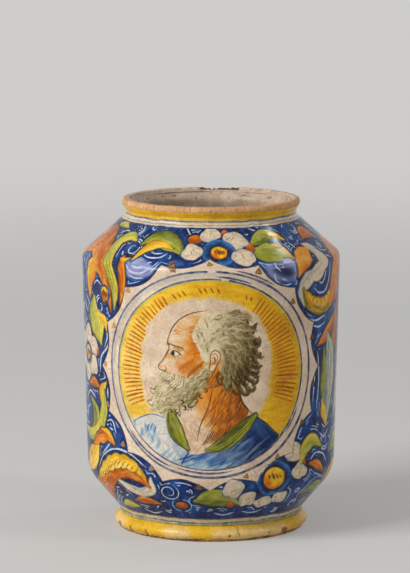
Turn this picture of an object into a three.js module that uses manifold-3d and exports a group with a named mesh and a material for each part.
// Albarello: a thrown drug jar with a waisted foot, a bevelled base, a tall
// slightly tapering wall, a sloping shoulder, a short neck and a thick lip.
// The clay is built as turned solids that meet face to face: foot ring, floor
// with bevel, wall, shoulder with neck, and lip. The glaze lies over them as
// thin skins, one for each painted field and one inside.
// Millimetres, +Z up, origin at the centre of the resting plane, front at -Y.

import * as THREE from 'three';
import { mergeVertices } from 'three/addons/utils/BufferGeometryUtils.js';
import Module from 'manifold-3d';

// Outline of the finished jar, from the resting plane up: radii and heights
const COVE_RADIUS = 59.6;
const FOOT_EDGE_STEP = 0.6;
const FOOT_FLANGE = 4.2;
const FOOT_SWELL_HEIGHT = 5;
const FOOT_HEIGHT = 10;
const COVE_HEIGHT = 2.7;
const BEVEL_HEIGHT = 24.8;
const SHOULDER_RADIUS = 83.7;
const WALL_TAPER = 3.3;
const WALL_HEIGHT = 141.5;
const SHOULDER_HEIGHT = 25.2;
const NECK_RADIUS = 55.5;
const NECK_HEIGHT = 3.3;
const LIP_OVERHANG = 2.1;
const FLARE_HEIGHT = 3.8;
const LIP_HEIGHT = 3.7;

// Rounding of the outline's corners
const FOOT_ROUND = 3;
const COVE_ROUND = 6;
const BELLY_ROUND = 24;
const SHOULDER_ROUND = 6;
const NECK_ROUND = 2;
const LIP_ROUND = 1.2;
const FLOOR_ROUND = 7;

// Clay and glaze
const CLAY_THICKNESS = 4.2;
const GLAZE_THICKNESS = 0.5;
const SEAT_GAP = 0.3;
const FLOOR_THICKNESS = 9;
const BASE_RECESS = 1.5;
const FOOT_RING_WIDTH = 14;

// Painted fields: where each one ends
const FOOT_BARE_HEIGHT = 3.5;
const COVE_BAND_WIDTH = 5.3;
const COLLAR_WIDTH = 6;
const LIP_BARE_HEIGHT = 1.5;

// Medallion on the front: widths are measured round the wall
const MEDALLION_RAISE = 3.7;
const FIELD_HALF_WIDTH = 64;
const FIELD_HALF_HEIGHT = 60.7;
const BORDER_AT_SIDES = 11.5;
const BORDER_AT_TOP = 8.8;
const CUSP_LENGTH = 6.5;
const CUSP_COUNT = 16;

// Faceting
const TURN_SEGMENTS = 40;
const ARC_STEP = Math.PI / 6;
const OUTLINE_POINTS_PER_CUSP = 4;

// Radii and heights that follow from the sizes above
const footEdgeRadius = COVE_RADIUS + FOOT_EDGE_STEP;
const footRadius = COVE_RADIUS + FOOT_FLANGE;
const bellyRadius = SHOULDER_RADIUS - WALL_TAPER;
const lipRadius = NECK_RADIUS + LIP_OVERHANG;
const coveTop = FOOT_HEIGHT + COVE_HEIGHT;
const bevelTop = coveTop + BEVEL_HEIGHT;
const wallTop = bevelTop + WALL_HEIGHT;
const shoulderTop = wallTop + SHOULDER_HEIGHT;
const neckTop = shoulderTop + NECK_HEIGHT;
const lipBottom = neckTop + FLARE_HEIGHT;
const jarTop = lipBottom + LIP_HEIGHT;
const floorTop = BASE_RECESS + FLOOR_THICKNESS;
const clayFace = GLAZE_THICKNESS + SEAT_GAP;
const clayBack = clayFace + CLAY_THICKNESS;
const shoulderFoot = wallTop - SHOULDER_ROUND;
const footRingInner = footEdgeRadius - FOOT_RING_WIDTH;
const medallionCentre = (bevelTop + wallTop) / 2 + MEDALLION_RAISE;

const corner = (r, z, round = 0) => ({ r, z, round });

// The wall from the top of the foot to the top of the lip
const wallCorners = [
  corner(COVE_RADIUS, FOOT_HEIGHT),
  corner(COVE_RADIUS, coveTop, COVE_ROUND),
  corner(bellyRadius, bevelTop, BELLY_ROUND),
  corner(SHOULDER_RADIUS, wallTop, SHOULDER_ROUND),
  corner(NECK_RADIUS, shoulderTop, NECK_ROUND),
  corner(NECK_RADIUS, neckTop, NECK_ROUND),
  corner(lipRadius, lipBottom),
  corner(lipRadius, jarTop),
];

// The outside of the foot's flange
const footCorners = [
  corner(footEdgeRadius, 0),
  corner(footRadius, FOOT_SWELL_HEIGHT, FOOT_ROUND),
  corner(COVE_RADIUS, FOOT_HEIGHT),
];

const clay = material(0xcf9a68, 0.85);
const innerGlazeMaterial = material(0xc6b3a3, 0.4);
const whiteGlaze = material(0xe3cfc2, 0.25);
const yellowGlaze = material(0xe6ad38, 0.25);
const paleYellowGlaze = material(0xf2c55c, 0.25);
const cobaltGlaze = material(0x1d3f7c, 0.25);

function material(color, roughness) {
  return new THREE.MeshStandardMaterial({ color, roughness, metalness: 0 });
}

// One straight side of an outline, moved towards the axis by a distance
function movedSide(from, to, distance) {
  const length = Math.hypot(to.r - from.r, to.z - from.z);
  const inwardR = -(to.z - from.z) / length;
  const inwardZ = (to.r - from.r) / length;
  return {
    r: from.r + inwardR * distance,
    z: from.z + inwardZ * distance,
    dr: to.r - from.r,
    dz: to.z - from.z,
  };
}

function meetingPoint(a, b) {
  const cross = a.dr * b.dz - a.dz * b.dr;
  const along = ((b.r - a.r) * b.dz - (b.z - a.z) * b.dr) / cross;
  return { r: a.r + a.dr * along, z: a.z + a.dz * along };
}

// The outline moved towards the axis: its ends stay at their heights, outer
// corners are rounded less and inner corners more
function movedCorners(corners, distance) {
  const sides = corners.slice(1).map((to, i) => movedSide(corners[i], to, distance));
  return corners.map((at, i) => {
    const level = { r: 0, z: at.z, dr: 1, dz: 0 };
    const before = i === 0 ? level : sides[i - 1];
    const after = i === sides.length ? level : sides[i];
    const point = meetingPoint(before, after);
    const turnsIn = before.dr * after.dz - before.dz * after.dr > 0;
    const round = at.round === 0 ? 0 : Math.max(at.round + (turnsIn ? -distance : distance), 0);
    return corner(point.r, point.z, round);
  });
}

// An arc in place of one corner, no longer than half of either side
function roundedCorner(before, at, after) {
  const toBefore = new THREE.Vector2(before.r - at.r, before.z - at.z);
  const toAfter = new THREE.Vector2(after.r - at.r, after.z - at.z);
  const opening = Math.acos(
    THREE.MathUtils.clamp(toBefore.dot(toAfter) / (toBefore.length() * toAfter.length()), -1, 1));
  const reach = Math.min(at.round / Math.tan(opening / 2), toBefore.length() / 2, toAfter.length() / 2);
  const start = toBefore.setLength(reach);
  const end = toAfter.setLength(reach);
  const steps = Math.max(1, Math.ceil((Math.PI - opening) / ARC_STEP));
  const radius = reach * Math.tan(opening / 2);
  const centre = start.clone().add(end).setLength(radius / Math.sin(opening / 2));
  const startAngle = Math.atan2(start.y - centre.y, start.x - centre.x);
  const endAngle = Math.atan2(end.y - centre.y, end.x - centre.x);
  const sweep = Math.atan2(Math.sin(endAngle - startAngle), Math.cos(endAngle - startAngle));
  return Array.from({ length: steps + 1 }, (_, k) => {
    const angle = startAngle + sweep * k / steps;
    return new THREE.Vector2(
      at.r + centre.x + radius * Math.cos(angle),
      at.z + centre.y + radius * Math.sin(angle));
  });
}

function rounded(corners) {
  return corners.flatMap((at, i) => {
    const isRound = at.round > 0 && i > 0 && i < corners.length - 1;
    return isRound ? roundedCorner(corners[i - 1], at, corners[i + 1]) : [new THREE.Vector2(at.r, at.z)];
  });
}

function outline(corners, distance = 0) {
  return rounded(movedCorners(corners, distance));
}

// Where a rising outline crosses a height
function pointAtHeight(points, z) {
  const next = points.findIndex((p) => p.y >= z);
  if (next <= 0) return new THREE.Vector2(points[Math.max(next, 0)].x, z);
  const a = points[next - 1];
  const b = points[next];
  return new THREE.Vector2(THREE.MathUtils.mapLinear(z, a.y, b.y, a.x, b.x), z);
}

// The stretch of a rising outline between two heights
function stretch(points, low, high) {
  const tiny = 1e-3;
  const between = points.filter((p) => p.y > low + tiny && p.y < high - tiny);
  return [pointAtHeight(points, low), ...between, pointAtHeight(points, high)];
}

function turned(points) {
  return new THREE.LatheGeometry(points, TURN_SEGMENTS).rotateX(Math.PI / 2);
}

// A closed ring profile: up the outside, then down the inside
function turnedRing(outside, inside) {
  const profile = [...outside, ...inside.toReversed()];
  return turned([...profile, profile[0].clone()]);
}

// A glaze skin over the wall between two heights
function glazeSkin(corners, low, high) {
  const face = stretch(outline(corners), low, high);
  const back = stretch(outline(corners, GLAZE_THICKNESS), low, high);
  return turnedRing(face, back);
}

// The clay's inner face, from the centre of the floor to a height
function innerFace(distance, high) {
  const wall = outline(wallCorners, distance);
  const floor = floorTop + distance - clayBack;
  const roundTop = pointAtHeight(wall, floor + FLOOR_ROUND);
  const roundSteps = 3;
  const floorArc = Array.from({ length: roundSteps }, (_, k) => {
    const angle = Math.PI / 2 * k / roundSteps;
    return new THREE.Vector2(
      roundTop.x - FLOOR_ROUND + FLOOR_ROUND * Math.sin(angle),
      floor + FLOOR_ROUND - FLOOR_ROUND * Math.cos(angle));
  });
  return [new THREE.Vector2(0, floor), ...floorArc, ...stretch(wall, roundTop.y, high)];
}

// The floor and the bevel over it, with a plug that fills the foot ring
function clayFloorBevel() {
  const plugRadius = footRingInner - SEAT_GAP;
  return turned([
    new THREE.Vector2(0, BASE_RECESS),
    new THREE.Vector2(plugRadius, BASE_RECESS),
    new THREE.Vector2(plugRadius, FOOT_HEIGHT),
    ...stretch(outline(wallCorners, clayFace), FOOT_HEIGHT, bevelTop),
    ...innerFace(clayBack, bevelTop).toReversed(),
  ]);
}

// A stretch of the clay wall between two flat faces
function clayRing(low, high) {
  const outside = stretch(outline(wallCorners, clayFace), low, high);
  const inside = stretch(outline(wallCorners, clayBack), low, high);
  return turnedRing(outside, inside);
}

function footRing() {
  const bare = stretch(outline(footCorners), 0, FOOT_BARE_HEIGHT);
  const underGlaze = stretch(outline(footCorners, clayFace), FOOT_BARE_HEIGHT, FOOT_HEIGHT);
  const bore = [new THREE.Vector2(footRingInner, 0), new THREE.Vector2(footRingInner, FOOT_HEIGHT)];
  return turnedRing([...bare, ...underGlaze], bore);
}

function lip() {
  const bore = stretch(outline(wallCorners, clayBack), lipBottom, jarTop);
  const boreTop = bore.pop();
  const boreCorners = bore.toReversed().map((p) => corner(p.x, p.y));
  const section = [
    boreCorners.at(-1),
    corner(lipRadius, lipBottom),
    corner(lipRadius, jarTop, LIP_ROUND),
    corner(boreTop.x, jarTop, LIP_ROUND),
    ...boreCorners,
  ];
  return turned(rounded(section));
}

function innerGlaze() {
  const high = jarTop - LIP_BARE_HEIGHT;
  const back = innerFace(clayBack + SEAT_GAP, high);
  const face = innerFace(clayBack + SEAT_GAP + GLAZE_THICKNESS, high);
  return turned([...back, ...face.toReversed()]);
}

// An oval as seen from the front, with cusps where they are asked for. Its
// width is measured round the wall, so it is drawn in towards the sides
function frontOutline(halfWidth, halfHeight, cuspLength) {
  const wallRadius = (bellyRadius + SHOULDER_RADIUS) / 2;
  const count = CUSP_COUNT * OUTLINE_POINTS_PER_CUSP;
  const points = Array.from({ length: count }, (_, k) => {
    const turn = 2 * Math.PI * k / count;
    const cusp = cuspLength * (1 - Math.abs(Math.sin(CUSP_COUNT * turn / 2)));
    const roundWall = (halfWidth + cusp) * Math.sin(turn);
    return new THREE.Vector2(
      wallRadius * Math.sin(roundWall / wallRadius),
      medallionCentre + (halfHeight + cusp) * Math.cos(turn));
  });
  return new THREE.Shape(points);
}

// A prism from the axis out through the front of the jar
function frontPrism(shape) {
  const clearance = 2;
  const depth = Math.max(SHOULDER_RADIUS, bellyRadius) + clearance;
  return new THREE.ExtrudeGeometry(shape, { depth, bevelEnabled: false }).rotateX(Math.PI / 2);
}

const wasm = await Module();
wasm.setup();

function toSolid(geometry) {
  const bare = geometry.clone();
  bare.deleteAttribute('normal');
  bare.deleteAttribute('uv');
  const merged = mergeVertices(bare, 1e-4);
  return new wasm.Manifold(new wasm.Mesh({
    numProp: 3,
    vertProperties: new Float32Array(merged.attributes.position.array),
    triVerts: new Uint32Array(merged.index.array),
  }));
}

function toGeometry(solid) {
  const mesh = solid.getMesh();
  const geometry = new THREE.BufferGeometry();
  geometry.setAttribute('position', new THREE.BufferAttribute(new Float32Array(mesh.vertProperties), 3));
  geometry.setIndex(new THREE.BufferAttribute(new Uint32Array(mesh.triVerts), 1));
  geometry.computeVertexNormals();
  return geometry;
}

const seam = SEAT_GAP / 2;
const coveBandTop = FOOT_HEIGHT + COVE_BAND_WIDTH;
const collarBottom = neckTop - COLLAR_WIDTH;
const wallSkin = toSolid(glazeSkin(wallCorners, coveBandTop + seam, collarBottom - seam));

const borderPrism = (margin) => toSolid(frontPrism(frontOutline(
  FIELD_HALF_WIDTH + BORDER_AT_SIDES + margin,
  FIELD_HALF_HEIGHT + BORDER_AT_TOP + margin,
  CUSP_LENGTH)));
const fieldPrism = (margin) => toSolid(frontPrism(frontOutline(
  FIELD_HALF_WIDTH + margin,
  FIELD_HALF_HEIGHT + margin,
  0)));

// The blue ground all round, open where the medallion is
function groundGlaze() {
  return toGeometry(wallSkin.subtract(borderPrism(seam)));
}

// The white border with its cusps, between the ground and the yellow field
function medallionBorderGlaze() {
  return toGeometry(wallSkin.intersect(borderPrism(-seam)).subtract(fieldPrism(seam)));
}

function medallionFieldGlaze() {
  return toGeometry(wallSkin.intersect(fieldPrism(-seam)));
}

const jar = new THREE.Group();

function addPart(name, geometry, partMaterial) {
  const mesh = new THREE.Mesh(geometry, partMaterial);
  mesh.name = name;
  jar.add(mesh);
}

addPart('foot_ring', footRing(), clay);
addPart('clay_floor_bevel', clayFloorBevel(), clay);
addPart('clay_wall', clayRing(bevelTop, shoulderFoot), clay);
addPart('clay_shoulder_neck', clayRing(shoulderFoot, lipBottom), clay);
addPart('rim_lip', lip(), clay);
addPart('inner_glaze', innerGlaze(), innerGlazeMaterial);
addPart('foot_band_glaze',
  glazeSkin(footCorners, FOOT_BARE_HEIGHT + SEAT_GAP, FOOT_HEIGHT - seam), paleYellowGlaze);
addPart('cove_band_glaze', glazeSkin(wallCorners, FOOT_HEIGHT + seam, coveBandTop - seam), whiteGlaze);
addPart('ground_glaze', groundGlaze(), cobaltGlaze);
addPart('medallion_border_glaze', medallionBorderGlaze(), whiteGlaze);
addPart('medallion_field_glaze', medallionFieldGlaze(), yellowGlaze);
addPart('collar_glaze', glazeSkin(wallCorners, collarBottom + seam, neckTop - seam), whiteGlaze);
addPart('neck_band_glaze', glazeSkin(wallCorners, neckTop + seam, lipBottom - SEAT_GAP), yellowGlaze);

export default jar;
